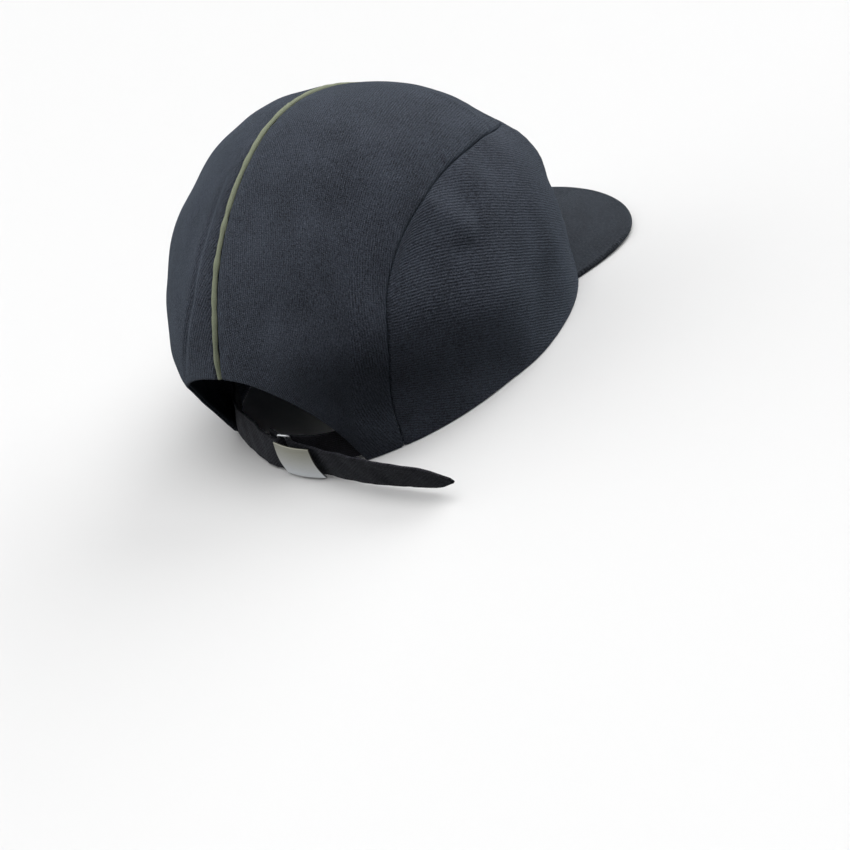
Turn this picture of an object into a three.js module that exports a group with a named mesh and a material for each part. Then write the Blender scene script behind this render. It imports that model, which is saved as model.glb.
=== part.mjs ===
// A five-panel cap: a soft twill crown, a cloth-covered peak and a strap closure at the back.
// Millimetres, +Z up, the peak points to -Y and the wearer's right side is -X.
// The origin lies on the plane of the rim, below the middle of the whole cap.
import * as THREE from "three";
import { mergeVertices } from "three/addons/utils/BufferGeometryUtils.js";

// Crown: level sections are near ellipses whose half sizes shrink towards the top
const CROWN = {
  halfLength: 97, // rim, front to back
  halfWidth: 80, // rim, side to side
  height: 130,
  topShift: 10.5, // how far the top lies behind the middle of the rim
  backBelly: 16, // how far the back swells beyond the rim
  sideBelly: 3.6,
  backPower: 1.95,
  frontPower: 2.4,
  sidePower: 3.4,
  frontSquareness: 0.32, // how much squarer than an ellipse the front is at half height
};
const CLOTH = 2; // wall thickness
const SEAM_GAP = 0.3;
const SAME_PLACE = 1e-4; // points closer than this are one vertex
const SLOPE_STEP = 0.02; // over which the crown's slope is measured
const TRIM = 0.25; // what each panel gives up along a seam, so that the gap holds through the wall
const HEART = new THREE.Vector3(0, 5, 38); // a point inside, from which the crown is seen whole
const FAR = 220; // farther from the heart than any part of the crown
const HALVINGS = 44; // of the search along a line from the heart

// Seams are drawn in as shallow valleys, with the panels puffed between them. Only the seams at the
// front corners stand out as ridges.
const SEAM_DEPTH = 1.4;
const RIDGE = 1.2;
const PUFF = 0.2;
const PUFF_REACH = 11;

// Seam between the side and back panels: forward is along Y and up is along Z
const SIDE_SEAM = [
  { forward: 74.5, up: 0 },
  { forward: 75.5, up: 18 },
  { forward: 73, up: 38 },
  { forward: 64, up: 64 },
  { forward: 45, up: 82 },
  { forward: 14, up: 92.5 },
  { forward: -24, up: 91.5 },
  { forward: -57, up: 82.5 },
];
const SIDE_SEAM_BEND = 4; // the row at which the side panel's top edge starts

// Top edge of the front panel at the middle, and the share of its half width that it stays level
const FRONT_TOP = { forward: -68, up: 103, level: 0.55 };

// Opening above the strap, lower on the right where the strap is pulled in
const ARCH = { top: 53, rightHalf: 38, leftHalf: 51, power: 2.3 };

const PIPING_RADIUS = 0.95;
const PIPING_SUNK = 0.35; // how far its middle line lies below the bottom of the seam's valley
const PIPING_ENDS = { low: 0.004, high: 0.992 }; // shares of the seam's length

// Peak: its root follows the rim, its top face is a little arched from side to side
const PEAK = {
  cornerAngle: 54.5, // degrees from the front, about the middle of the rim
  thickness: 3,
  rootRise: 4, // height of the arch at the root
  frontRise: 2.5, // height of the arch at the front edge
  halfWidth: 73.5,
  widestAt: -93,
  frontAt: -145,
  frontPower: 1.8,
  tuck: 1.6, // how far the root goes in under the front panel
  cornerGap: 1, // degrees left free at each corner
  sideShare: 0.3, // of the edge, from a corner to the widest place
};

// Strap closure, in plan: the straps stand on edge behind the wearer's head
const STRAP = { thickness: 1.4, low: 1.6, high: 17.4 };
const BAR_RADIUS = 0.6;
const FRAME_GAP = 0.3;
const LOOP_RADIUS = BAR_RADIUS + FRAME_GAP + STRAP.thickness / 2;
const LOOP_STEPS = 8;
const SHORT_BAR = { x: -3.6, y: 95 };
const LONG_BAR = { x: -10.2, y: 95 };
const SHORT_STRAP = [
  { x: 61, y: 57.5, lean: -4 },
  { x: 56, y: 64.6, lean: -5.5 },
  { x: 52, y: 69.4, lean: -6.5 },
  { x: 48, y: 74, lean: -6.2 },
  { x: 42, y: 78.7, lean: -5 },
  { x: 35, y: 82.5, lean: -4 },
  { x: 27, y: 86.6, lean: -4 },
  { x: 19, y: 90.5, lean: -4.2 },
  { x: 9, y: 94.6, lean: -2.5 },
];
const SHORT_STRAP_END = { x: 5.4, y: 92.2, lean: -2 };
const LONG_STRAP_INSIDE = [
  { x: -50, y: 71, lean: 3.5 },
  { x: -37, y: 81, lean: 4 },
  { x: -28, y: 86.6, lean: 3.6 },
  { x: -21, y: 90.6, lean: 2 },
  { x: -15, y: 92.6, lean: 0.5 },
];
const LONG_STRAP_TAIL = [
  { x: -15, y: 96.6, lean: 0.8, share: 1 },
  { x: -29, y: 98.2, lean: 2.3, share: 1 },
  { x: -45, y: 99.9, lean: 2.6, share: 0.98 },
  { x: -62, y: 100.4, lean: 4.2, share: 0.95 },
  { x: -78, y: 100.2, lean: 5.2, share: 0.86 },
  { x: -89, y: 99.8, lean: 6, share: 0.7 },
  { x: -98, y: 99.5, lean: 6.4, share: 0.2 }, // the tip
];
const PLATE = {
  low: 1.2,
  high: 17.9,
  thickness: 0.8,
  bow: 1.1, // from side to side
  bulge: 1.2, // from the low edge to the high edge
  right: { x: -27, y: 99, lean: 2.6 },
  left: { x: -4.2, y: 98.2, lean: 0.4 },
};

// Outlines of the level sections
function sectionAt(z) {
  const s = THREE.MathUtils.clamp(z / CROWN.height, 0, 1);
  const lift = Math.sin(Math.PI * s);
  const shrink = (power) => Math.sqrt(1 - s ** power);
  return {
    back: CROWN.halfLength * shrink(CROWN.backPower) + CROWN.backBelly * lift,
    front: CROWN.halfLength * shrink(CROWN.frontPower),
    side: CROWN.halfWidth * shrink(CROWN.sidePower) + CROWN.sideBelly * lift,
    middle: CROWN.topShift * s * s,
    frontRound: 2 + CROWN.frontSquareness * lift,
  };
}

// Below 1 inside the crown's smooth outer form, above 1 outside it
function crownField(p) {
  if (p.z >= CROWN.height) return 2 + p.z / CROWN.height;
  const { back, front, side, middle, frontRound } = sectionAt(p.z);
  const [length, round] = p.y > middle ? [back, 2] : [front, frontRound];
  return Math.abs((p.y - middle) / length) ** round + Math.abs(p.x / side) ** round;
}

function crownNormal(p) {
  const slope = (axis) => {
    const above = p.clone();
    const below = p.clone();
    above[axis] += SLOPE_STEP;
    below[axis] -= SLOPE_STEP;
    return crownField(above) - crownField(below);
  };
  return new THREE.Vector3(slope("x"), slope("y"), slope("z")).normalize();
}

// The point of the smooth crown that lies in line with p, seen from its heart
function ontoCrown(p) {
  const ray = p.clone().sub(HEART).normalize();
  let inner = 0;
  let outer = FAR;
  for (let i = 0; i < HALVINGS; i += 1) {
    const middle = (inner + outer) / 2;
    const inside = crownField(HEART.clone().addScaledVector(ray, middle)) < 1;
    if (inside) inner = middle;
    else outer = middle;
  }
  return HEART.clone().addScaledVector(ray, inner);
}

function crownSide(forward, up, sign) {
  const { back, front, side, middle, frontRound } = sectionAt(up);
  const [length, round] = forward > middle ? [back, 2] : [front, frontRound];
  const x = side * Math.max(0, 1 - Math.abs((forward - middle) / length) ** round) ** (1 / round);
  return new THREE.Vector3(sign * x, forward, up);
}

function crownBack(x, up) {
  const { back, side, middle } = sectionAt(up);
  return new THREE.Vector3(x, middle + back * Math.sqrt(1 - (x / side) ** 2), up);
}

function rimPoint(degrees, sign) {
  const a = THREE.MathUtils.degToRad(degrees);
  return new THREE.Vector3(sign * CROWN.halfWidth * Math.sin(a), -CROWN.halfLength * Math.cos(a), 0);
}

// Seams: each is a function from 0..1 to a point of the smooth crown; sign is -1 on the wearer's right
function sideSeam(sign) {
  const rows = SIDE_SEAM.map((row) => new THREE.Vector3(0, row.forward, row.up));
  const curve = new THREE.CatmullRomCurve3(rows, false, "centripetal");
  return (t) => {
    const p = curve.getPoint(t);
    return crownSide(p.y, p.z, sign);
  };
}

const BEND = SIDE_SEAM_BEND / (SIDE_SEAM.length - 1);

function frontSeam(sign) {
  const corner = sideSeam(sign)(1);
  const middle = new THREE.Vector3(0, FRONT_TOP.forward, FRONT_TOP.up);
  const control = new THREE.Vector3(FRONT_TOP.level * corner.x, FRONT_TOP.forward, FRONT_TOP.up);
  const curve = new THREE.QuadraticBezierCurve3(middle, control, corner);
  return (t) => ontoCrown(curve.getPoint(t));
}

function cornerSeam(sign) {
  const top = sideSeam(sign)(1);
  const bottom = rimPoint(PEAK.cornerAngle, sign);
  return (t) => {
    const p = bottom.clone().lerp(top, t);
    return t === 0 ? bottom.clone() : ontoCrown(p);
  };
}

const MIDLINE_OFFSET = PIPING_RADIUS + SEAM_GAP;

function midline(x) {
  const start = crownBack(x, ARCH.top);
  const end = ontoCrown(new THREE.Vector3(0, FRONT_TOP.forward, FRONT_TOP.up));
  const angle = (p) => Math.atan2(p.z - HEART.z, p.y - HEART.y);
  return (t) => {
    const a = THREE.MathUtils.lerp(angle(start), angle(end), t);
    const direction = new THREE.Vector3(0, Math.cos(a), Math.sin(a));
    return ontoCrown(HEART.clone().addScaledVector(direction, FAR)).setX(x);
  };
}

// The lower edge of a back panel: down the opening, then along the rim
const ARCH_SHARE = 0.75;
function backEdge(sign) {
  const half = sign < 0 ? ARCH.rightHalf : ARCH.leftHalf;
  const corner = crownBack(sign * half, 0);
  const end = sideSeam(sign)(0);
  return (t) => {
    if (t >= ARCH_SHARE) {
      const x = THREE.MathUtils.lerp(corner.x, end.x, (t - ARCH_SHARE) / (1 - ARCH_SHARE));
      return crownBack(x, 0);
    }
    const a = (t / ARCH_SHARE) * (Math.PI / 2);
    const x = Math.max(half * Math.sin(a) ** (2 / ARCH.power), MIDLINE_OFFSET);
    const up = ARCH.top * Math.max(0, 1 - (x / half) ** ARCH.power) ** (1 / ARCH.power);
    return crownBack(sign * x, up);
  };
}

// A grid of outer points between four seams, and the inner points that lie a cloth's thickness below.
// The seams named in ridges stand out, the others lie in valleys.
function panelGrid({ bottom, top, left, right, across, along, flatBottom, ridges = [] }) {
  const corner = [left(0), right(0), left(1), right(1)];
  const width = corner[0].distanceTo(corner[1]) + corner[2].distanceTo(corner[3]);
  const height = corner[0].distanceTo(corner[2]) + corner[1].distanceTo(corner[3]);
  const outer = [];
  const inner = [];
  const spaced = (first, last, share) => {
    const trim = TRIM / first.distanceTo(last);
    return THREE.MathUtils.lerp(trim, 1 - trim, share);
  };
  for (let i = 0; i <= across; i += 1) {
    const column = i / across;
    outer.push([]);
    inner.push([]);
    for (let j = 0; j <= along; j += 1) {
      const v = (j / along) * spaced(bottom(column), top(column), 1);
      const u = spaced(left(v), right(v), column);
      const p = bottom(u).multiplyScalar(1 - v).addScaledVector(top(u), v);
      p.addScaledVector(left(v), 1 - u).addScaledVector(right(v), u);
      p.addScaledVector(corner[0], -(1 - u) * (1 - v)).addScaledVector(corner[1], -u * (1 - v));
      p.addScaledVector(corner[2], -(1 - u) * v).addScaledVector(corner[3], -u * v);
      const onCrown = j === 0 ? p : ontoCrown(p);
      const normal = crownNormal(onCrown);
      const away = { left: (u * width) / 2, right: ((1 - u) * width) / 2, top: ((1 - v) * height) / 2 };
      const near = (distance) => Math.exp(-distance / PUFF_REACH);
      const valleys = Object.keys(away).filter((name) => !ridges.includes(name));
      const valley = near(Math.min(...valleys.map((name) => away[name])));
      const ridge = near(Math.min(...ridges.map((name) => away[name]))) * (1 - near(away.top));
      const swell = PUFF - (PUFF + SEAM_DEPTH) * valley + RIDGE * ridge;
      const hem = Math.min(1, (v * height) / 2 / PUFF_REACH);
      const out = onCrown.clone().addScaledVector(normal, swell * hem);
      const into = out.clone().addScaledVector(normal, -CLOTH);
      if (flatBottom && j === 0) into.z = out.z;
      outer[i].push(out);
      inner[i].push(into);
    }
  }
  return [outer, inner];
}

// A closed body between two grids of points
function slab(outer, inner) {
  const positions = [];
  const triangle = (a, b, c) => {
    const area = b.clone().sub(a).cross(c.clone().sub(a)).length();
    if (area > SAME_PLACE ** 2) positions.push(...a.toArray(), ...b.toArray(), ...c.toArray());
  };
  const quad = (a, b, c, d) => {
    triangle(a, b, c);
    triangle(a, c, d);
  };
  const nu = outer.length - 1;
  const nv = outer[0].length - 1;
  for (let i = 0; i < nu; i += 1) {
    for (let j = 0; j < nv; j += 1) {
      quad(outer[i][j], outer[i + 1][j], outer[i + 1][j + 1], outer[i][j + 1]);
      quad(inner[i][j], inner[i][j + 1], inner[i + 1][j + 1], inner[i + 1][j]);
    }
    quad(outer[i][0], inner[i][0], inner[i + 1][0], outer[i + 1][0]);
    quad(outer[i][nv], outer[i + 1][nv], inner[i + 1][nv], inner[i][nv]);
  }
  for (let j = 0; j < nv; j += 1) {
    quad(outer[0][j], outer[0][j + 1], inner[0][j + 1], inner[0][j]);
    quad(outer[nu][j], inner[nu][j], inner[nu][j + 1], outer[nu][j + 1]);
  }
  const geometry = new THREE.BufferGeometry();
  geometry.setAttribute("position", new THREE.Float32BufferAttribute(positions, 3));
  return facingOut(mergeVertices(geometry, SAME_PLACE));
}

// Turns every triangle over where the body came out inside out
function facingOut(geometry) {
  const p = geometry.attributes.position;
  const index = geometry.index;
  const corner = [0, 1, 2].map(() => new THREE.Vector3());
  let volume = 0;
  for (let i = 0; i < index.count; i += 3) {
    corner.forEach((v, k) => v.fromBufferAttribute(p, index.getX(i + k)));
    volume += corner[0].dot(corner[1].clone().cross(corner[2]));
  }
  if (volume < 0) {
    for (let i = 0; i < index.count; i += 3) {
      const first = index.getX(i);
      index.setX(i, index.getX(i + 1));
      index.setX(i + 1, first);
    }
  }
  geometry.computeVertexNormals();
  return geometry;
}

function backPanel(sign) {
  const front = frontSeam(sign);
  return slab(...panelGrid({
    bottom: backEdge(sign),
    top: (t) => front(t).add(new THREE.Vector3(sign * MIDLINE_OFFSET * (1 - t), 0, 0)),
    left: midline(sign * MIDLINE_OFFSET),
    right: sideSeam(sign),
    across: 16,
    along: 26,
    flatBottom: false,
  }));
}

function sidePanel(sign) {
  const seam = sideSeam(sign);
  const start = seam(0);
  const turn = Math.atan2(Math.abs(start.x) / CROWN.halfWidth, -start.y / CROWN.halfLength);
  const startAngle = THREE.MathUtils.radToDeg(turn);
  return slab(...panelGrid({
    bottom: (t) => rimPoint(THREE.MathUtils.lerp(startAngle, PEAK.cornerAngle, t), sign),
    top: (t) => seam(THREE.MathUtils.lerp(BEND, 1, t)),
    left: (t) => seam(BEND * t),
    right: cornerSeam(sign),
    across: 16,
    along: 14,
    flatBottom: true,
    ridges: ["right"],
  }));
}

// Height of the peak's top face at its root, t running from the wearer's right corner to the left one
function rootHeight(t) {
  return PEAK.thickness + PEAK.rootRise * Math.sin(Math.PI * t);
}

function frontPanel() {
  const rightTop = frontSeam(-1);
  const leftTop = frontSeam(1);
  const lift = (p, t) => p.setZ(p.z + rootHeight(t) + SEAM_GAP);
  const angle = (t) => Math.abs(1 - 2 * t) * PEAK.cornerAngle;
  const side = (sign) => {
    const seam = cornerSeam(sign);
    const low = (rootHeight(0) + SEAM_GAP) / seam(1).z;
    return (t) => (t === 0 ? lift(seam(0), 0) : seam(THREE.MathUtils.lerp(low, 1, t)));
  };
  return slab(...panelGrid({
    bottom: (t) => lift(rimPoint(angle(t), t < 0.5 ? -1 : 1), t),
    top: (t) => (t < 0.5 ? rightTop(1 - 2 * t) : leftTop(2 * t - 1)),
    left: side(-1),
    right: side(1),
    across: 20,
    along: 12,
    flatBottom: true,
    ridges: ["left", "right"],
  }));
}

function backPiping() {
  const line = midline(0);
  const points = [];
  const steps = 40;
  for (let i = 0; i <= steps; i += 1) {
    const p = line(THREE.MathUtils.lerp(PIPING_ENDS.low, PIPING_ENDS.high, i / steps));
    points.push(p.addScaledVector(crownNormal(p), -SEAM_DEPTH - PIPING_SUNK));
  }
  const section = new THREE.Shape();
  section.absarc(0, 0, PIPING_RADIUS, 0, 2 * Math.PI);
  return new THREE.ExtrudeGeometry(section, {
    steps,
    curveSegments: 4,
    bevelEnabled: false,
    extrudePath: new THREE.CatmullRomCurve3(points),
  });
}

// The front edge of the peak, t running from the wearer's right corner to the left one
function peakEdge(t) {
  const corner = rimPoint(PEAK.cornerAngle - PEAK.cornerGap, 1);
  const side = t < 0.5 ? -1 : 1;
  const q = Math.abs(1 - 2 * t); // 1 at the corners, 0 at the middle of the front
  if (q > 1 - PEAK.sideShare) {
    const k = (1 - q) / PEAK.sideShare;
    const x = THREE.MathUtils.lerp(corner.x, PEAK.halfWidth, Math.sin((k * Math.PI) / 2));
    return new THREE.Vector2(side * x, THREE.MathUtils.lerp(corner.y, PEAK.widestAt, k));
  }
  const a = (q / (1 - PEAK.sideShare)) * (Math.PI / 2);
  const x = PEAK.halfWidth * Math.sin(a) ** (2 / PEAK.frontPower);
  const advance = Math.max(0, Math.cos(a)) ** (2 / PEAK.frontPower);
  return new THREE.Vector2(side * x, THREE.MathUtils.lerp(PEAK.widestAt, PEAK.frontAt, advance));
}

function peak() {
  const across = 36;
  const along = 6;
  const top = [];
  const bottom = [];
  for (let i = 0; i <= across; i += 1) {
    const t = i / across;
    const side = t < 0.5 ? -1 : 1;
    const root = rimPoint(Math.abs(1 - 2 * t) * (PEAK.cornerAngle - PEAK.cornerGap), side);
    root.multiplyScalar(1 - PEAK.tuck / CROWN.halfLength);
    const edge = peakEdge(t);
    top.push([]);
    bottom.push([]);
    for (let j = 0; j <= along; j += 1) {
      const q = j / along;
      const x = THREE.MathUtils.lerp(root.x, edge.x, q);
      const y = THREE.MathUtils.lerp(root.y, edge.y, q);
      const rise = THREE.MathUtils.lerp(PEAK.rootRise, PEAK.frontRise, q) * Math.sin(Math.PI * t);
      top[i].push(new THREE.Vector3(x, y, PEAK.thickness + rise));
      bottom[i].push(new THREE.Vector3(x, y, rise));
    }
  }
  return slab(top, bottom);
}

// A strap that stands on edge along a route in plan. Each station leans by the shift of its upper edge,
// and its share is how much of the full width the strap has there.
function strap(stations) {
  const outer = [];
  const inner = [];
  const route = stations.map((s) => new THREE.Vector2(s.x, s.y));
  stations.forEach((station, i) => {
    const before = route[Math.max(0, i - 1)];
    const after = route[Math.min(route.length - 1, i + 1)];
    const along = after.clone().sub(before).normalize();
    const across = new THREE.Vector2(-along.y, along.x).multiplyScalar(STRAP.thickness / 2);
    const { share = 1 } = station;
    const middle = (STRAP.low + STRAP.high) / 2;
    const edges = [-1, 1].map((side) => ({
      z: middle + (side * share * (STRAP.high - STRAP.low)) / 2,
      shift: station.lean * (0.5 + 0.5 * side * share),
    }));
    const face = (sign) => edges.map(({ z, shift }) => (
      new THREE.Vector3(station.x + sign * across.x, station.y + shift + sign * across.y, z)));
    outer.push(face(1));
    inner.push(face(-1));
  });
  return slab(outer, inner);
}

function loop(bar, fromDegrees, toDegrees, steps) {
  return Array.from({ length: steps + 1 }, (_, i) => {
    const a = THREE.MathUtils.degToRad(THREE.MathUtils.lerp(fromDegrees, toDegrees, i / steps));
    return { x: bar.x + LOOP_RADIUS * Math.cos(a), y: bar.y + LOOP_RADIUS * Math.sin(a), lean: 0 };
  });
}

function strapLeft() {
  return strap([...SHORT_STRAP, ...loop(SHORT_BAR, 90, 270, LOOP_STEPS), SHORT_STRAP_END]);
}

function strapRight() {
  return strap([...LONG_STRAP_INSIDE, ...loop(LONG_BAR, -90, 90, LOOP_STEPS), ...LONG_STRAP_TAIL]);
}

// A plate bowed both ways, whose top edge leans out more at its right end
function bucklePlate() {
  const steps = 8;
  const levels = 6;
  const front = [];
  const back = [];
  for (let i = 0; i <= steps; i += 1) {
    const t = i / steps;
    const between = (key) => THREE.MathUtils.lerp(PLATE.right[key], PLATE.left[key], t);
    const y = between("y") + PLATE.bow * Math.sin(Math.PI * t);
    const line = (face) =>
      Array.from({ length: levels + 1 }, (_, j) => {
        const c = j / levels;
        const out = face + between("lean") * c + PLATE.bulge * Math.sin(Math.PI * c);
        return new THREE.Vector3(between("x"), out, THREE.MathUtils.lerp(PLATE.low, PLATE.high, c));
      });
    front.push(line(y + PLATE.thickness));
    back.push(line(y));
  }
  return slab(front, back);
}

// The wire ring that both straps are looped on
function buckleFrame() {
  const low = STRAP.low - BAR_RADIUS - FRAME_GAP;
  const high = STRAP.high + BAR_RADIUS + FRAME_GAP;
  const corners = [
    [SHORT_BAR.x, low],
    [LONG_BAR.x, low],
    [LONG_BAR.x, high],
    [SHORT_BAR.x, high],
  ];
  const sides = 8;
  const rings = corners.map(([x, z], i) => {
    const outward = new THREE.Vector3(i === 0 || i === 3 ? 1 : -1, 0, i < 2 ? -1 : 1);
    return Array.from({ length: sides + 1 }, (_, k) => {
      const a = ((k % sides) / sides) * 2 * Math.PI;
      const y = SHORT_BAR.y + BAR_RADIUS * Math.sin(a);
      return new THREE.Vector3(x, y, z).addScaledVector(outward, BAR_RADIUS * Math.cos(a));
    });
  });
  const positions = [];
  rings.forEach((ring, i) => {
    const next = rings[(i + 1) % rings.length];
    for (let k = 0; k < sides; k += 1) {
      const [a, b, c, d] = [ring[k], next[k], next[k + 1], ring[k + 1]];
      positions.push(...[a, b, c, a, c, d].flatMap((p) => p.toArray()));
    }
  });
  const geometry = new THREE.BufferGeometry();
  geometry.setAttribute("position", new THREE.Float32BufferAttribute(positions, 3));
  return facingOut(mergeVertices(geometry, SAME_PLACE));
}

const twill = { color: 0x20242c, roughness: 0.95, metalness: 0 };
const tape = { color: 0x1b1a20, roughness: 0.9, metalness: 0 };
const olive = { color: 0x6f7457, roughness: 0.9, metalness: 0 };
const satinMetal = { color: 0xa8a8a0, roughness: 0.35, metalness: 1 };

const cap = new THREE.Group();
function addPart(name, geometry, look) {
  const mesh = new THREE.Mesh(geometry, new THREE.MeshStandardMaterial(look));
  mesh.name = name;
  cap.add(mesh);
}

addPart("front_panel", frontPanel(), twill);
addPart("side_panel_right", sidePanel(-1), twill);
addPart("side_panel_left", sidePanel(1), twill);
addPart("back_panel_right", backPanel(-1), twill);
addPart("back_panel_left", backPanel(1), twill);
addPart("back_piping", backPiping(), olive);
addPart("peak", peak(), twill);
addPart("strap_left", strapLeft(), tape);
addPart("strap_right", strapRight(), tape);
addPart("buckle_plate", bucklePlate(), satinMetal);
addPart("buckle_frame", buckleFrame(), satinMetal);

// Puts the origin below the middle of the whole cap
const reach = new THREE.Box3().setFromObject(cap);
const centre = reach.getCenter(new THREE.Vector3());
cap.position.set(-centre.x, -centre.y, -reach.min.z);

export default cap;
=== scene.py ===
"""The looks of a five-panel cap in dark navy wool twill, with olive piping and a cloth strap in a buckle.

Lengths in the tables are millimetres, about the middle of the rim: -Y is the peak, -X the wearer's right
side and +Z up. place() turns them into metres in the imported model's frame.
"""

import math

import bpy
import numpy as np
from mathutils import Matrix, Vector


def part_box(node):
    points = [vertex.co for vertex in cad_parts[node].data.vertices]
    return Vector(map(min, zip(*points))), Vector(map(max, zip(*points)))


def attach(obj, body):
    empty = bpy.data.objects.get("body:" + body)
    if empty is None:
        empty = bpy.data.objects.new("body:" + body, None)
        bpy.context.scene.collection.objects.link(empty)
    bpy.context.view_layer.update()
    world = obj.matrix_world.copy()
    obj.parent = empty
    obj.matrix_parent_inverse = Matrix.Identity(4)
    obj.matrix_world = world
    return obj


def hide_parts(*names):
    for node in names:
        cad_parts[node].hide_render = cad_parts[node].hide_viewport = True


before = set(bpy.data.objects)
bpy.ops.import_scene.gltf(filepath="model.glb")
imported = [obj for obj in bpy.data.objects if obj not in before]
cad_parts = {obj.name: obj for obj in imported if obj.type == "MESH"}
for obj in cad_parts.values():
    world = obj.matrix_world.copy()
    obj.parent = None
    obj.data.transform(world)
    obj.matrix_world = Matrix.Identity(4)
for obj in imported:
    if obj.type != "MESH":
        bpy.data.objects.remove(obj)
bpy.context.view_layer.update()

MM = 0.001

# Crown: level sections are near ellipses, whose half sizes shrink towards the top
CROWN_HALF_LENGTH = 97.0
CROWN_HALF_WIDTH = 80.0
CROWN_HEIGHT = 130.0
CROWN_TOP_SHIFT = 10.5
CROWN_BACK_BELLY = 16.0
CROWN_SIDE_BELLY = 3.6
CROWN_BACK_POWER = 1.95
CROWN_FRONT_POWER = 2.4
CROWN_SIDE_POWER = 3.4
CROWN_FRONT_SQUARENESS = 0.32
CROWN_HEART = np.array([0.0, 5.0, 38.0])
CROWN_REACH = 220.0
WALL = 1.9

# Seam between the side and back panels: forward is along Y and up is along Z
SIDE_SEAM = (
    # forward, up
    (74.5, 0.0),
    (75.5, 18.0),
    (73.0, 38.0),
    (64.0, 64.0),
    (45.0, 82.0),
    (14.0, 92.5),
    (-24.0, 91.5),
    (-57.0, 82.5),
)
SIDE_SEAM_BEND = 4
FRONT_TOP = (0.0, -68.0, 103.0)
FRONT_TOP_LEVEL = 0.55
ARCH_TOP = 53.0
ARCH_RIGHT_HALF = 38.0
ARCH_LEFT_HALF = 51.0
ARCH_POWER = 2.3
ARCH_SHARE = 0.75
PEAK_CORNER = 54.5
PEAK_CORNER_GAP = 1.0
PEAK_WIDEST_AT = -93.0
PEAK_FRONT_AT = -145.0
PEAK_HALF_WIDTH = 73.5
PEAK_FRONT_POWER = 1.8
PEAK_SIDE_SHARE = 0.3
PEAK_ROOT_RISE = 4.0
PEAK_FRONT_RISE = 2.5
PEAK_THICKNESS = 3.0
PIPING_RADIUS = 0.95

# Relief of the panels
SEAM_DEPTH = 1.7
SEAM_REACH = 11.0
CORNER_RIDGE = 1.6
SEAM_ROLL = 1.8
SEAM_TRIM = 0.08
ALLOWANCE = 6.5
ALLOWANCE_HEIGHT = 0.07
ALLOWANCE_SOFTNESS = 0.9
TAPE_THICKNESS = 0.6
HEM_DEPTH = 11.0
HEM_THICKNESS = 0.45
TURNING_SOFTNESS = 0.35
TURNINGS_FROM = 2.0
HEM_SWELL = 0.25
HEM_STITCHES_AT = 3.0
STITCH_DEPTH = 0.1
STITCH_WIDTH = 0.5
PUCKER_HEIGHT = 0.13
PUCKER_SIZE = 5.5
PUCKER_REACH = 5.0
PUCKER_FROM = 1.2
CREASES_FROM = 2.5
LOOSE_FROM = 9.0
HEM_LOOSENESS = 0.3
LUMP_HEIGHT = 0.32
LUMP_SIZE = 46.0
RIPPLE_HEIGHT = 0.1
RIPPLE_SIZE = 17.0
GRID_SQUEEZE = 0.82


def frame_shift():
    """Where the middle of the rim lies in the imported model's frame, in metres."""
    right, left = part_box("side_panel_right"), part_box("side_panel_left")
    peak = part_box("peak")
    return np.array([(right[0].x + left[1].x) / 2, peak[0].y - PEAK_FRONT_AT * MM, 0.0])


SHIFT = frame_shift()


def place(points):
    return np.asarray(points, float) * MM + SHIFT


# The crown's smooth form


def crown_section(z):
    s = np.clip(z / CROWN_HEIGHT, 0, 1)
    lift = np.sin(np.pi * s)
    back = CROWN_HALF_LENGTH * np.sqrt(1 - s**CROWN_BACK_POWER) + CROWN_BACK_BELLY * lift
    front = CROWN_HALF_LENGTH * np.sqrt(1 - s**CROWN_FRONT_POWER)
    side = CROWN_HALF_WIDTH * np.sqrt(1 - s**CROWN_SIDE_POWER) + CROWN_SIDE_BELLY * lift
    return back, front, side, CROWN_TOP_SHIFT * s * s, 2 + CROWN_FRONT_SQUARENESS * lift


def crown_field(p):
    """Below 1 inside the crown's smooth outer form, above 1 outside it."""
    back, front, side, middle, front_round = crown_section(p[..., 2])
    behind = p[..., 1] > middle
    length = np.where(behind, back, front) + 1e-9
    power = np.where(behind, 2.0, front_round)
    field = np.abs((p[..., 1] - middle) / length) ** power + np.abs(p[..., 0] / (side + 1e-9)) ** power
    return np.where(p[..., 2] >= CROWN_HEIGHT, 2 + p[..., 2] / CROWN_HEIGHT, field)


def crown_normal(p):
    step = 0.02 * np.eye(3)
    slope = np.stack([crown_field(p + axis) - crown_field(p - axis) for axis in step], -1)
    return unit(slope)


def unit(v):
    return v / np.linalg.norm(v, axis=-1, keepdims=True)


def onto_crown(p):
    """The points of the smooth crown in line with p, seen from its heart."""
    ray = unit(p - CROWN_HEART)
    inner = np.zeros(p.shape[:-1])
    outer = np.full(p.shape[:-1], CROWN_REACH)
    for _ in range(36):
        middle = (inner + outer) / 2
        inside = crown_field(CROWN_HEART + ray * middle[..., None]) < 1
        inner = np.where(inside, middle, inner)
        outer = np.where(inside, outer, middle)
    return CROWN_HEART + ray * inner[..., None]


def crown_side(forward, up, sign):
    back, front, side, middle, front_round = crown_section(up)
    behind = forward > middle
    length = np.where(behind, back, front)
    power = np.where(behind, 2.0, front_round)
    x = side * np.maximum(0, 1 - np.abs((forward - middle) / length) ** power) ** (1 / power)
    return np.stack([sign * x, forward, up], -1)


def crown_back(x, up):
    back, _, side, middle, _ = crown_section(up)
    return np.stack([x, middle + back * np.sqrt(1 - (x / side) ** 2), up], -1)


def rim_point(degrees, sign):
    a = np.radians(degrees)
    sign = sign * np.ones_like(a)
    x = sign * CROWN_HALF_WIDTH * np.sin(a)
    return np.stack([x, -CROWN_HALF_LENGTH * np.cos(a), np.zeros_like(a)], -1)


# Seams: each takes shares of its length, from 0 to 1, to points of the smooth crown


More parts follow.
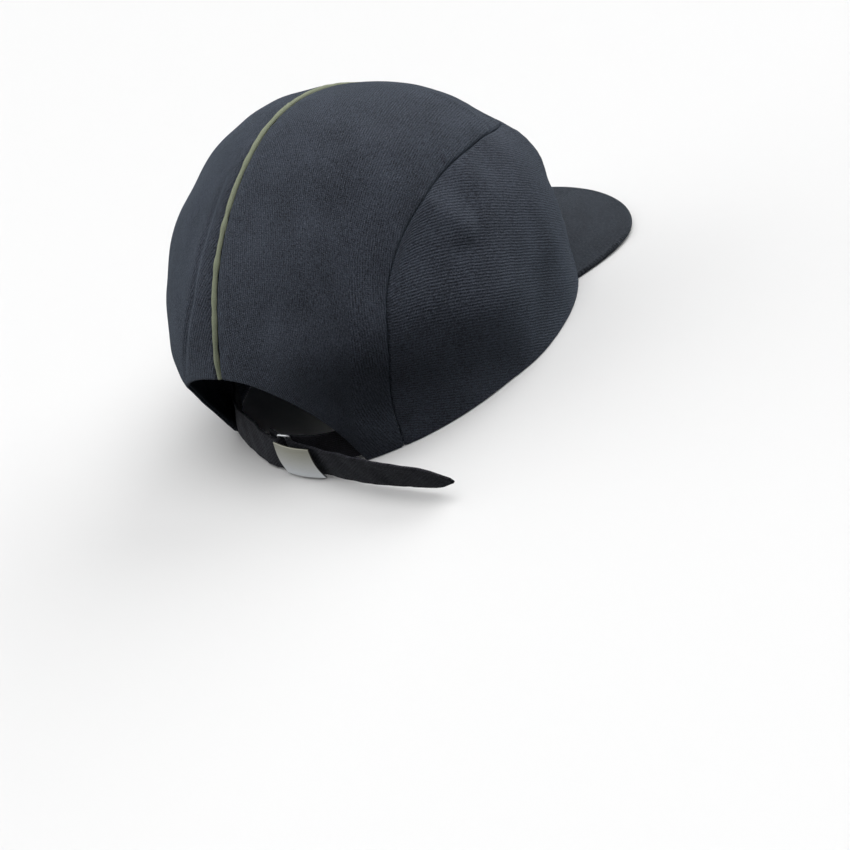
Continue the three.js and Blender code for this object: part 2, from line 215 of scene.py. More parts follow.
def smooth_line(rows, steps=400):
    """A centripetal Catmull-Rom curve through the rows, as a function of the share of rows passed."""
    p = np.array(rows, float)
    p = np.vstack([2 * p[0] - p[1], p, 2 * p[-1] - p[-2]])
    gap = np.maximum(np.sqrt(np.linalg.norm(np.diff(p, axis=0), axis=1)), 1e-6)
    t = np.linspace(0, len(rows) - 1, steps)
    i = np.minimum(t.astype(int), len(rows) - 2)
    w = (t - i)[:, None]
    d0, d1, d2 = (gap[i + k][:, None] for k in range(3))
    p0, p1, p2, p3 = (p[i + k] for k in range(4))
    m1 = ((p1 - p0) / d0 - (p2 - p0) / (d0 + d1) + (p2 - p1) / d1) * d1
    m2 = ((p2 - p1) / d1 - (p3 - p1) / (d1 + d2) + (p3 - p2) / d2) * d1
    line = p1 + m1 * w + (3 * (p2 - p1) - 2 * m1 - m2) * w**2 + (2 * (p1 - p2) + m1 + m2) * w**3
    share = t / (len(rows) - 1)
    return lambda s: np.stack([np.interp(s, share, line[:, k]) for k in range(p.shape[1])], -1)


SIDE_LINE = smooth_line(SIDE_SEAM)
BEND = SIDE_SEAM_BEND / (len(SIDE_SEAM) - 1)


def side_seam(sign):
    def at(t):
        row = SIDE_LINE(t)
        return crown_side(row[..., 0], row[..., 1], sign)

    return at


def front_seam(sign):
    corner = side_seam(sign)(1.0)
    middle = np.array(FRONT_TOP)
    control = middle + [FRONT_TOP_LEVEL * corner[0], 0, 0]

    def at(t):
        t = np.asarray(t, float)[..., None]
        return onto_crown((1 - t) ** 2 * middle + 2 * t * (1 - t) * control + t**2 * corner)

    return at


def corner_seam(sign):
    top = side_seam(sign)(1.0)
    bottom = rim_point(PEAK_CORNER, sign)

    def at(t):
        t = np.asarray(t, float)[..., None]
        return np.where(t > 0, onto_crown(bottom + (top - bottom) * np.maximum(t, 1e-4)), bottom)

    return at


def midline(x):
    start = crown_back(x, ARCH_TOP)
    end = onto_crown(np.array(FRONT_TOP))
    first, last = (math.atan2(p[2] - CROWN_HEART[2], p[1] - CROWN_HEART[1]) for p in (start, end))

    def at(t):
        a = first + (last - first) * np.asarray(t, float)
        p = onto_crown(CROWN_HEART + np.stack([np.zeros_like(a), np.cos(a), np.sin(a)], -1))
        return p + [x, 0, 0]

    return at


def back_edge(sign):
    """The lower edge of a back panel: down the opening, then along the rim."""
    half = ARCH_RIGHT_HALF if sign < 0 else ARCH_LEFT_HALF
    corner = crown_back(sign * half, 0.0)
    end = side_seam(sign)(0.0)

    def at(t):
        t = np.asarray(t, float)
        a = np.minimum(t / ARCH_SHARE, 1) * math.pi / 2
        x = np.maximum(half * np.sin(a) ** (2 / ARCH_POWER), PIPING_RADIUS)
        up = ARCH_TOP * np.maximum(0, 1 - (x / half) ** ARCH_POWER) ** (1 / ARCH_POWER)
        on_arch = crown_back(sign * x, up)
        share = (t - ARCH_SHARE) / (1 - ARCH_SHARE)
        on_rim = crown_back(corner[0] + (end[0] - corner[0]) * np.clip(share, 0, 1), np.zeros_like(t))
        return np.where((t >= ARCH_SHARE)[..., None], on_rim, on_arch)

    return at


# Relief


def soft_noise(p, size, seed):
    """A smooth random field of about unit height whose lumps measure about size."""
    rng = np.random.default_rng(seed)
    total = np.zeros(p.shape[:-1])
    waves = 18
    for _ in range(waves):
        direction = unit(rng.normal(size=3)) / (size * rng.uniform(0.75, 1.5))
        total += np.sin(2 * np.pi * (p @ direction) + rng.uniform(0, 2 * np.pi))
    return total / math.sqrt(waves / 2)


def along_path(p, path):
    """Distance of each point from a path, and the share of the path where it is nearest."""
    path = np.asarray(path, float)
    best = np.full(p.shape[:-1], 1e9)
    share = np.zeros(p.shape[:-1])
    spans = len(path) - 1
    for k in range(spans):
        a, b = path[k], path[k + 1]
        t = np.clip(((p - a) @ (b - a)) / ((b - a) @ (b - a)), 0, 1)
        distance = np.linalg.norm(p - (a + t[..., None] * (b - a)), axis=-1)
        nearer = distance < best
        best = np.where(nearer, distance, best)
        share = np.where(nearer, (k + t) / spans, share)
    return best, share


# Where the soft crown stands out or lies in from its smooth form: a path through points of the right half,
# which the left half mirrors unless one_side is set, with how wide and how high it is
SHAPES = (
    {"path": ((-63, -66, 48), (-65, -65, 36), (-67, -62, 20)), "width": 14.0, "height": -3.2},
    {"path": ((-57, -54, 80), (-60, -59, 70), (-61, -64, 62)), "width": 9.0, "height": 1.5},
    {"path": ((-47, -50, 94), (-50, -50, 91)), "width": 8.0, "height": -0.8},
    {"path": ((28, 19, 125), (31, 34, 120), (44, 41, 110)), "width": 13.0, "height": -1.7, "one_side": True},
    {"path": ((40, 93, 54), (36, 96, 48)), "width": 9.0, "height": 1.2, "one_side": True},
    {"path": ((44, 70, 96), (52, 80, 74)), "width": 15.0, "height": -0.6, "one_side": True},
    {"path": ((-69, -16, 89), (-72, -15, 84)), "width": 8.0, "height": -1.2},
    {"path": ((-71, 11, 89), (-75, 10, 80)), "width": 8.0, "height": -1.4},
    {"path": ((-70, 26, 86), (-77, 20, 71)), "width": 6.0, "height": 1.0},
    {"path": ((-80, -30, 62), (-81, -28, 36)), "width": 10.0, "height": 0.9},
    {"path": ((-30, 98, 54), (-55, 77, 58)), "width": 16.0, "height": 0.9},
    {"path": ((-18, -84, 52), (16, -86, 46)), "width": 12.0, "height": -0.8},
    {
        "path": ((-37, 92, 60), (-53, 78, 60), (-65, 63, 55), (-74, 45, 46), (-80, 22, 37)),
        "width": 16.0,
        "height": 2.9,
        "one_side": True,
    },
    {
        "path": ((-50, 86, 26), (-62, 71, 18), (-71, 53, 10), (-79, 29, 4)),
        "width": 16.0,
        "height": -2.2,
        "one_side": True,
    },
)

# Creases that fade out at the seams. A sharp one has a crest instead of a rounded top.
FOLDS = (
    {
        "path": (
            (7, 40, 124),
            (5, 51, 119),
            (6, 70, 107),
            (8, 83, 94),
            (10, 92, 83),
            (18, 99, 66),
            (28, 102, 48),
        ),
        "width": 8.0,
        "height": 0.9,
        "sharp": True,
    },
    {
        "path": ((7.6, 52, 119), (8.6, 71, 107), (10.4, 83, 94), (12.4, 92, 83), (20, 99, 66), (30, 102, 48)),
        "width": 1.7,
        "height": -0.95,
    },
    {
        "path": ((-37, -28, 112), (-45, -32, 107), (-52, -34, 101), (-58, -38, 93)),
        "width": 2.5,
        "height": 0.8,
        "sharp": True,
    },
    {"path": ((17, 46, 119), (17, 66, 107), (19, 80, 92), (23, 90, 76)), "width": 6.0, "height": -0.55},
    {"path": ((-77, 9, 74), (-78, 14, 68), (-79, 20, 64)), "width": 2.6, "height": -0.55},
    {"path": ((-79, 20, 64), (-77, 27, 66), (-75, 32, 69)), "width": 3.0, "height": -0.5},
    {"path": ((-61, 71, 50), (-65, 65, 43)), "width": 1.6, "height": 0.3},
    {"path": ((-62, 70, 47), (-66, 64, 40)), "width": 1.4, "height": -0.3},
    {"path": ((-59, 76, 24), (-62, 71, 14), (-62, 70, 4)), "width": 3.0, "height": 0.5},
    {"path": ((-30, 62, 103), (-46, 52, 98)), "width": 12.0, "height": -0.8},
    {"path": ((-24, 88, 80), (-40, 84, 66)), "width": 12.0, "height": -0.7},
    {"path": ((60, 60, 62), (72, 30, 70)), "width": 7.0, "height": -0.9},
    {"path": ((74, 18, 60), (79, -8, 52)), "width": 8.0, "height": 0.8},
)


CREASE_END = 0.25
CREASE_LEFT = 0.35


def relief(p, parts, creases=False):
    """How far the shapes or the creases stand out at each point."""
    total = np.zeros(p.shape[:-1])
    for part in parts:
        distance, share = along_path(p, part["path"])
        if not (creases or part.get("one_side")):
            distance = np.minimum(distance, along_path(p * [-1, 1, 1], part["path"])[0])
        reach = distance / part["width"]
        height = part["height"] * (np.exp(-reach) if part.get("sharp") else np.exp(-(reach**2)))
        if creases:
            ends = np.clip(np.minimum(share, 1 - share) / CREASE_END, 0, 1)
            height = height * (CREASE_LEFT + (1 - CREASE_LEFT) * ends)
        total += height
    return total


SEAM_SWAY = 2.6
SWAY_TALL = 14
SWAY_WIDE = 26


def sway(p):
    """The middle seam drifts to the wearer's left just above the opening."""
    drift = SEAM_SWAY * np.exp(-(((p[..., 2] - ARCH_TOP) / SWAY_TALL) ** 2) - (p[..., 0] / SWAY_WIDE) ** 2)
    drift = np.where(p[..., 1] > 0, drift, 0.0)
    return p + np.stack([drift, np.zeros_like(drift), np.zeros_like(drift)], -1)


def rounded(distance, radius):
    """How far a rounded edge drops at a distance from its rim."""
    gap = np.clip(radius - distance, 0, radius)
    return radius - np.sqrt(np.maximum(radius**2 - gap**2, 0))


def eased(count, squeeze):
    """Shares from 0 to 1 that lie closer together at both ends."""
    c = np.linspace(0, 1, count + 1)
    return c - squeeze * np.sin(2 * np.pi * c) / (2 * np.pi)


def panel_grid(seams, across, along, left_trim):
    """Points of the smooth crown between four seams, as a grid of across by along steps."""
    bottom, top, left, right = seams

    def spaced(first, last, share, trim_first, trim_last):
        gap = np.maximum(np.linalg.norm(last - first, axis=-1), 1e-3)
        low, high = trim_first / gap, 1 - trim_last / gap
        return low + (high - low) * share

    columns, rows = np.meshgrid(eased(across, GRID_SQUEEZE), eased(along, GRID_SQUEEZE), indexing="ij")
    up = spaced(bottom(columns), top(columns), rows, 0.0, SEAM_TRIM)
    over = spaced(left(up), right(up), columns, left_trim, SEAM_TRIM)
    u, v = over[..., None], up[..., None]
    p = bottom(over) * (1 - v) + top(over) * v + left(up) * (1 - u) + right(up) * u
    p = p - left(0.0) * (1 - u) * (1 - v) - right(0.0) * u * (1 - v)
    p = p - left(1.0) * (1 - u) * v - right(1.0) * u * v
    on_crown = onto_crown(p)
    on_crown[:, 0] = p[:, 0]
    return on_crown


def running(p, axis):
    """Length along the grid lines of one axis, from their start."""
    step = np.linalg.norm(np.diff(p, axis=axis), axis=-1)
    return np.concatenate([np.zeros_like(np.take(step, [0], axis)), np.cumsum(step, axis)], axis)


def nearest(away, sides):
    return np.minimum.reduce([away[side] for side in sides])


def fading(distance):
    return np.exp(-distance / SEAM_REACH)


def line_at(distance, at, width):
    """A soft line, 1 high, at a distance from an edge."""
    return np.exp(-(((distance - at) / width) ** 2))


def below(distance, limit):
    """1 where the distance is less than the limit and 0 beyond it, with a soft change."""
    return 1 / (1 + np.exp((distance - limit) / TURNING_SOFTNESS))


def panel_relief(p, away, from_bottom, ridges, seed):
    """How far the cloth stands out from the smooth crown, before its seam edges are rounded."""
    hem = np.clip(from_bottom / SEAM_REACH, 0, 1)
    valleys = [side for side in away if side not in ridges]
    swell = -SEAM_DEPTH * fading(nearest(away, valleys))
    if ridges:
        swell = swell + CORNER_RIDGE * fading(nearest(away, ridges)) * (1 - fading(away["top"]))
    seam_edge = nearest(away, away)
    pucker = PUCKER_HEIGHT * np.exp(-seam_edge / PUCKER_REACH) * soft_noise(p, PUCKER_SIZE, seed)
    lumps = LUMP_HEIGHT * soft_noise(p, LUMP_SIZE, seed + 20)
    ripples = RIPPLE_HEIGHT * soft_noise(p, RIPPLE_SIZE, seed + 40)
    loose = np.clip(seam_edge / LOOSE_FROM, 0, 1) * (HEM_LOOSENESS + (1 - HEM_LOOSENESS) * hem)
    allowances = sum(line_at(away[side], ALLOWANCE, ALLOWANCE_SOFTNESS) for side in ("left", "right"))
    creases = relief(p, FOLDS, creases=True) * np.clip(seam_edge / CREASES_FROM, 0, 1)
    offset = swell * (HEM_SWELL + (1 - HEM_SWELL) * hem)
    offset = offset + pucker * np.clip(seam_edge / PUCKER_FROM, 0, 1) + (lumps + ripples) * loose
    offset = offset + relief(p, SHAPES) + creases
    offset = offset - STITCH_DEPTH * line_at(from_bottom, HEM_STITCHES_AT, STITCH_WIDTH)
    return offset + ALLOWANCE_HEIGHT * allowances


def turned(u, v, degrees):
    """Places on the cloth, about axes that are turned by an angle."""
    turn = math.radians(degrees)
    return np.stack([u * math.cos(turn) + v * math.sin(turn), v * math.cos(turn) - u * math.sin(turn)], -1)


def panel(name, seams, across, along, ridges=(), seed=1, grain=0.0, left_trim=SEAM_TRIM):
    """One crown panel: a wall of cloth with its seams, hem, folds and puckers."""
    p = sway(panel_grid(seams, across, along, left_trim))
    from_left = running(p, 0)
    from_bottom = running(p, 1)
    away = {
        "left": from_left,
        "right": from_left[-1:] - from_left,
        "top": from_bottom[:, -1:] - from_bottom,
    }
    seam_edge = nearest(away, away)
    offset = panel_relief(p, away, from_bottom, ridges, seed)
    drop = rounded(from_bottom, WALL / 2)
    tape = TAPE_THICKNESS * below(seam_edge, ALLOWANCE)
    hem_turn = HEM_THICKNESS * below(from_bottom, HEM_DEPTH)
    turnings = np.maximum(tape, hem_turn) * np.clip(from_bottom / TURNINGS_FROM, 0, 1)
    normal = crown_normal(p)
    outer = p + normal * (offset - rounded(seam_edge, SEAM_ROLL) - drop)[..., None]
    inner = p + normal * (offset - WALL - turnings + drop)[..., None]
    middle_column = across // 2
    from_middle = from_left - from_left[middle_column]
    up_middle = np.broadcast_to(from_bottom[middle_column], from_bottom.shape)
    piece = wall_mesh(name, outer, inner, turned(from_middle, up_middle, grain))
    finish_piece(piece, TWILL, name)


# Meshes


def add_object(name, data):
    made = bpy.data.objects.new(name, data)
    bpy.context.scene.collection.objects.link(made)
    return made


def build_mesh(name, points, faces, weave):
    """A smooth piece whose cloth coordinates, one pair for each point, are in millimetres."""
    mesh = bpy.data.meshes.new(name)
    mesh.from_pydata(place(points).tolist(), [], faces)
    mesh.validate()
    mesh.polygons.foreach_set("use_smooth", np.ones(len(mesh.polygons), bool))
    layer = mesh.uv_layers.new(name="Weave")
    index = np.zeros(len(mesh.loops), int)
    mesh.loops.foreach_get("vertex_index", index)
    layer.data.foreach_set("uv", weave.reshape(-1, 2)[index].astype(np.float32).ravel())
    return add_object(name, mesh)


def signed_volume(points, quads):
    a, b, c, d = (points[quads[:, k]] for k in range(4))
    return float((np.cross(a, b) * c).sum() + (np.cross(a, c) * d).sum())


def wall_mesh(name, outer, inner, weave):
    """A closed wall between two grids of points, with the weave's coordinates on both faces."""
    nu, nv = outer.shape[:2]
    count = nu * nv
    index = np.arange(count).reshape(nu, nv)
    quads = np.stack([index[:-1, :-1], index[1:, :-1], index[1:, 1:], index[:-1, 1:]], -1).reshape(-1, 4)
    sides = []
    for line in (index[:, 0], index[-1, :], index[::-1, -1], index[0, ::-1]):
        sides.append(np.stack([line[:-1], line[:-1] + count, line[1:] + count, line[1:]], -1))
    faces = np.vstack([quads, quads[:, ::-1] + count, *sides])
    points = np.vstack([outer.reshape(-1, 3), inner.reshape(-1, 3)])
    if signed_volume(points, faces) < 0:
        faces = faces[:, ::-1]
    return build_mesh(name, points, faces.tolist(), np.concatenate([weave.reshape(-1, 2)] * 2))


def tube_mesh(name, rings, weave):
    """A closed tube through rings of points, with flat ends."""
    index = np.arange(rings.shape[0] * rings.shape[1]).reshape(rings.shape[:2])
    beside = np.roll(index, -1, axis=1)
    faces = np.stack([index[:-1], index[1:], beside[1:], beside[:-1]], -1).reshape(-1, 4)
    ends = [index[0], index[-1, ::-1]]
    points = rings.reshape(-1, 3)
    if signed_volume(points, faces) < 0:
        faces = faces[:, ::-1]
        ends = [end[::-1] for end in ends]
    return build_mesh(name, points, faces.tolist() + [end.tolist() for end in ends], weave)


def finish_piece(piece, material, node):
    piece.data.materials.append(material)
    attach(piece, "root")
    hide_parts(node)


# Materials


def new_material(name):
    material = bpy.data.materials.new(name)
    material.use_nodes = True
    tree = material.node_tree
    tree.nodes.clear()
    output = tree.nodes.new("ShaderNodeOutputMaterial")
    shader = tree.nodes.new("ShaderNodeBsdfPrincipled")
    tree.links.new(shader.outputs[0], output.inputs[0])
    return material, tree, shader


def set_inputs(tree, node, inputs):
    """Links or sets the inputs of a node, each named with _ for a space, or by its place, as in i0."""
    for key, value in inputs.items():
        socket = node.inputs[int(key[1:])] if key[1:].isdigit() else node.inputs[key.replace("_", " ")]
        if isinstance(value, bpy.types.NodeSocket):
            tree.links.new(value, socket)
        else:
            socket.default_value = value


def add(tree, kind, settings=None, **inputs):
    """Adds a node and returns its first output."""
    made = tree.nodes.new("ShaderNode" + kind)
    for key, value in (settings or {}).items():
        setattr(made, key, value)
    set_inputs(tree, made, inputs)
    return made.outputs[0]


def math_node(tree, operation, *values):
    return add(tree, "Math", {"operation": operation}, **{f"i{k}": v for k, v in enumerate(values)})


def ramp(tree, value, stops):
    made = tree.nodes.new("ShaderNodeValToRGB")
    tree.links.new(value, made.inputs[0])
    band = made.color_ramp
    while len(band.elements) < len(stops):
        band.elements.new(0.5)
    for element, (position, colour) in zip(band.elements, stops):
        element.position = position
        element.color = (*colour, 1)
    return made.outputs[0]


def noise(tree, at, scale, detail, roughness=0.5):
    settings = {"noise_dimensions": "2D"}
    return add(tree, "TexNoise", settings, Vector=at, Scale=scale, Detail=detail, Roughness=roughness)


def stretched(tree, at, along, across):
    return add(tree, "Mapping", None, Vector=at, Scale=(along, across, 1.0))


def cloth_axes(tree, weave):
    parts = tree.nodes.new("ShaderNodeSeparateXYZ")
    tree.links.new(weave, parts.inputs[0])
    return parts.outputs[0], parts.outputs[1]


def wave(tree, angle):
    """A wave between 0 and 1."""
    return math_node(tree, "MULTIPLY_ADD", math_node(tree, "SINE", angle), 0.5, 0.5)


RIB_PITCH = 1.18
YARN_PITCH = 0.74
RIB_WANDER = 0.6
RIB_TONE = 0.34
YARN_TONE = 0.06
FIBRE_TONE = 2.5
STREAK_TONE = 1.0
CLOUD_TONE = 0.5
TONE_DROP = 1.7
FLECK_SIZE = 0.085
FLECK_COLOUR = (0.15, 0.16, 0.18, 1)


def twill_material(name, dark, light, sheen, fleck=0.5):
    """Wool twill: fine diagonal ribs of yarn, a heathered colour, short fuzz and a soft sheen."""
    material, tree, shader = new_material(name)
    weave = add(tree, "UVMap", {"uv_map": "Weave"})
    along, across = cloth_axes(tree, weave)
    bent = math_node(tree, "MULTIPLY_ADD", noise(tree, weave, 0.16, 1.0), RIB_WANDER, across)
    turns = math_node(tree, "MULTIPLY", bent, 2 * math.pi / RIB_PITCH)
    half_turn = math_node(tree, "MULTIPLY", turns, 0.5)
    rib = wave(tree, turns)
    yarn = wave(tree, math_node(tree, "MULTIPLY_ADD", along, 2 * math.pi / YARN_PITCH, half_turn))
    fibre = noise(tree, weave, 1.5, 3.0, 0.75)
    streak = noise(tree, stretched(tree, weave, 0.35, 1.5), 1.0, 2.0, 0.6)
    cloud = noise(tree, weave, 0.045, 3.0)
    height = math_node(tree, "MULTIPLY_ADD", yarn, 0.3, math_node(tree, "MULTIPLY", rib, 0.7))
    height = math_node(tree, "MULTIPLY_ADD", fibre, 1.1, height)
    tone = math_node(tree, "MULTIPLY_ADD", rib, RIB_TONE, math_node(tree, "MULTIPLY", yarn, YARN_TONE))
    for part, weight in ((fibre, FIBRE_TONE), (streak, STREAK_TONE), (cloud, CLOUD_TONE)):
        tone = math_node(tree, "MULTIPLY_ADD", part, weight, tone)
    tone = math_node(tree, "SUBTRACT", tone, TONE_DROP)
    middle = tuple((a + b) / 2 for a, b in zip(dark, light))
    colour = ramp(tree, tone, ((0.0, dark), (0.5, middle), (1.0, light)))
    speck = add(tree, "TexVoronoi", {"voronoi_dimensions": "2D"}, Vector=weave, Scale=0.55)
    share = math_node(tree, "MULTIPLY", math_node(tree, "LESS_THAN", speck, FLECK_SIZE), fleck)
    looks = {
        "Base_Color": add(tree, "MixRGB", None, Fac=share, Color1=colour, Color2=FLECK_COLOUR),
        "Roughness": math_node(tree, "MULTIPLY_ADD", fibre, 0.1, 0.8),
        "Normal": add(tree, "Bump", None, Strength=0.9, Distance=0.00026, Height=height),
        "Specular_IOR_Level": 0.2,
        "Sheen_Weight": sheen,
        "Sheen_Roughness": 0.4,
        "Sheen_Tint": (0.55, 0.72, 0.92, 1),
    }
    set_inputs(tree, shader, looks)
    return material


THREAD_TURNS = 14.0
# Olive tones from dark to pale; the pale end colours the raised thread tops as a painted highlight
OLIVE_STOPS = (
    # place, colour
    (0.1, (0.13, 0.147, 0.098)),
    (0.55, (0.215, 0.237, 0.162)),
    (0.95, (0.345, 0.37, 0.265)),
)


def piping_material():
    """Olive cotton cut on the bias over a cord: fine slanting threads, with paler raised tops that are a
    painted highlight.
    """
    material, tree, shader = new_material("olive_piping")
    weave = add(tree, "UVMap", {"uv_map": "Weave"})
    slant = math_node(tree, "ADD", *cloth_axes(tree, weave))
    thread = wave(tree, math_node(tree, "MULTIPLY", slant, THREAD_TURNS))
    fibre = math_node(tree, "MULTIPLY", noise(tree, weave, 2.4, 3.0, 0.7), 0.8)
    # The tone drives both the colour and the bump, so the raised tops are painted paler: a painted highlight
    tone = math_node(tree, "MULTIPLY_ADD", thread, 0.3, fibre)
    looks = {
        "Base_Color": ramp(tree, tone, OLIVE_STOPS),
        "Normal": add(tree, "Bump", None, Strength=0.8, Distance=0.00012, Height=tone),
        "Roughness": 0.85,
        "Specular_IOR_Level": 0.25,
        "Sheen_Weight": 0.15,
        "Sheen_Tint": (0.9, 0.95, 0.8, 1),
    }
    set_inputs(tree, shader, looks)
    return material


PLATE_LOW = 1.2
PLATE_HIGH = 17.9
# Painted reflection, from pale at the plate's foot to dark olive at its top
PAINTED_REFLECTION_STOPS = (
    # share of the plate's height, colour
    (0.2, (0.62, 0.64, 0.65)),
    (0.55, (0.5, 0.5, 0.47)),
    (0.9, (0.34, 0.335, 0.28)),
)
BRUSHED_STOPS = ((0.25, (0.8, 0.8, 0.8)), (0.75, (1.0, 1.0, 1.0)))


def metal_material():
    """Satin steel, finely brushed along the buckle's length, with a painted reflection: paler towards its
    foot, darker and olive towards its top.
    """
    material, tree, shader = new_material("satin_steel")
    place_at = add(tree, "UVMap", {"uv_map": "Weave"})
    brushed = noise(tree, stretched(tree, place_at, 0.12, 9.0), 1.0, 4.0, 0.7)
    cloud = noise(tree, place_at, 0.16, 2.0)
    level = math_node(tree, "MULTIPLY", cloth_axes(tree, place_at)[1], 1 / PLATE_HIGH)
    # Painted reflection: the colour darkens and turns olive up the plate's height
    painted_reflection = ramp(tree, level, PAINTED_REFLECTION_STOPS)
    shade = ramp(tree, brushed, BRUSHED_STOPS)
    worn = math_node(tree, "MULTIPLY_ADD", cloud, 0.1, 0.22)
    looks = {
        "Base_Color": add(tree, "MixRGB", {"blend_type": "MULTIPLY"}, Fac=1.0, Color1=painted_reflection, Color2=shade),
        "Roughness": math_node(tree, "MULTIPLY_ADD", brushed, 0.16, worn),
        "Normal": add(tree, "Bump", None, Strength=0.25, Distance=0.00004, Height=brushed),
        "Metallic": 1.0,
    }
    set_inputs(tree, shader, looks)
    return material


TWILL = twill_material("navy_twill", (0.0075, 0.0090, 0.0128), (0.060, 0.0695, 0.093), 0.14)
# The peak's twill is the crown's at about three quarters of its tone: painted shade for the darker look of
# the peak's nap
PEAK_SHADED_TWILL = twill_material("peak_twill", (0.0058, 0.0068, 0.0090), (0.045, 0.052, 0.065), 0.1)
STRAP_TWILL = twill_material("strap_twill", (0.0034, 0.0033, 0.0046), (0.020, 0.0195, 0.026), 0.04, 0.25)
PIPING_CLOTH = piping_material()
SATIN_STEEL = metal_material()


# Crown panels


def rim_arc(first, last, sign):
    return lambda t: rim_point(first + (last - first) * np.asarray(t, float), sign)


def build_back_panel(side, sign, grain, seed):
    front = front_seam(sign)
    offset = np.array([sign * PIPING_RADIUS, 0, 0])
    seams = (
        back_edge(sign),
        lambda t: front(t) + offset * (1 - np.asarray(t, float)[..., None]),
        midline(sign * PIPING_RADIUS),
        side_seam(sign),
    )
    panel("back_panel_" + side, seams, 180, 262, seed=seed, grain=grain, left_trim=0.0)


def build_side_panel(side, sign, seed):
    seam = side_seam(sign)
    x, y, _ = seam(0.0)
    start_angle = math.degrees(math.atan2(abs(x) / CROWN_HALF_WIDTH, -y / CROWN_HALF_LENGTH))
    seams = (
        rim_arc(start_angle, PEAK_CORNER, sign),
        lambda t: seam(BEND + (1 - BEND) * np.asarray(t, float)),
        lambda t: seam(BEND * np.asarray(t, float)),
        corner_seam(sign),
    )
    panel("side_panel_" + side, seams, 190, 140, ridges=("right",), seed=seed, grain=-27)


PEAK_GAP = 0.1


def build_front_panel():
    right_top, left_top = front_seam(-1), front_seam(1)

    def bottom(t):
        t = np.asarray(t, float)
        rise = PEAK_THICKNESS + PEAK_ROOT_RISE * np.sin(np.pi * t) + PEAK_GAP
        on_rim = rim_point(np.abs(1 - 2 * t) * PEAK_CORNER, np.where(t < 0.5, -1, 1))
        return on_rim + np.stack([np.zeros_like(t), np.zeros_like(t), rise], -1)

    def top(t):
        t = np.asarray(t, float)
        right_part = right_top(np.clip(1 - 2 * t, 0, 1))
        return np.where((t < 0.5)[..., None], right_part, left_top(np.clip(2 * t - 1, 0, 1)))

    def side(sign):
        seam = corner_seam(sign)
        low = (PEAK_THICKNESS + PEAK_GAP) / seam(1.0)[2]
        foot = seam(0.0) + [0, 0, PEAK_THICKNESS + PEAK_GAP]

        def at(t):
            t = np.asarray(t, float)
            return np.where((t > 0)[..., None], seam(low + (1 - low) * t), foot)

        return at

    seams = (bottom, top, side(-1), side(1))
    panel("front_panel", seams, 170, 110, ridges=("left", "right"), seed=11, grain=27)


build_back_panel("right", -1, -75, 3)
build_side_panel("right", -1, 7)
build_back_panel("left", 1, -55, 5)
build_side_panel("left", 1, 9)
build_front_panel()


# Piping

PIPING_STEPS = 420
PIPING_SIDES = 14
PIPING_FULLNESS = 1.16
PIPING_RAISED = 0.1
PIPING_WANDER = 0.12
PIPING_UNEVEN = 0.07


def build_piping():
    line = midline(0.0)(np.linspace(0.001, 0.995, PIPING_STEPS))
    normal = crown_normal(line)
    line = sway(line) + normal * (relief(line, SHAPES) - SEAM_DEPTH + PIPING_RAISED)[:, None]
    line[:, 0] += PIPING_WANDER * soft_noise(line, 14.0, 31)
    along = unit(np.gradient(line, axis=0))
    up = unit(normal - along * (normal * along).sum(-1, keepdims=True))
    beside = np.cross(along, up)
    a = np.linspace(0, 2 * np.pi, PIPING_SIDES, endpoint=False)
    thick = PIPING_FULLNESS * PIPING_RADIUS * (1 + PIPING_UNEVEN * soft_noise(line, 7.0, 33))
    section = thick[:, None, None] * np.stack([np.cos(a), np.sin(a)], -1)[None]
    rings = line[:, None] + beside[:, None] * section[..., :1] + up[:, None] * section[..., 1:]
    girth = running(rings[PIPING_STEPS // 2], 0)
    length = running(line, 0)
    weave = np.stack(np.broadcast_arrays(length[:, None], girth[None, :]), -1)
    finish_piece(tube_mesh("back_piping", rings, weave), PIPING_CLOTH, "back_piping")


build_piping()


# Peak


def peak_edge(t):
    """The outline of the peak from its right corner round to its left one."""
    corner = rim_point(np.array(PEAK_CORNER - PEAK_CORNER_GAP), 1)
    sign = np.where(t < 0.5, -1.0, 1.0)
    from_middle = np.abs(1 - 2 * t)
    k = np.clip((1 - from_middle) / PEAK_SIDE_SHARE, 0, 1)
    side_x = corner[0] + (PEAK_HALF_WIDTH - corner[0]) * np.sin(k * np.pi / 2)
    side_y = corner[1] + (PEAK_WIDEST_AT - corner[1]) * k
    a = np.clip(from_middle / (1 - PEAK_SIDE_SHARE), 0, 1) * np.pi / 2
    front_x = PEAK_HALF_WIDTH * np.sin(a) ** (2 / PEAK_FRONT_POWER)
    reach = np.maximum(0, np.cos(a)) ** (2 / PEAK_FRONT_POWER)
    front_y = PEAK_WIDEST_AT + (PEAK_FRONT_AT - PEAK_WIDEST_AT) * reach
    on_side = from_middle > 1 - PEAK_SIDE_SHARE
    return np.stack([sign * np.where(on_side, side_x, front_x), np.where(on_side, side_y, front_y)], -1)


PEAK_STEPS_ACROSS = 220
PEAK_STEPS_ALONG = 70
PEAK_CROWDING = 1.7
PEAK_TUCK = 1.6
PEAK_CLOTH = 2.7
PEAK_CORNER_ROUNDING = 260
PEAK_CREASE_AT = 3.2
PEAK_CREASE_DEPTH = 0.05
PEAK_GRAIN = 27


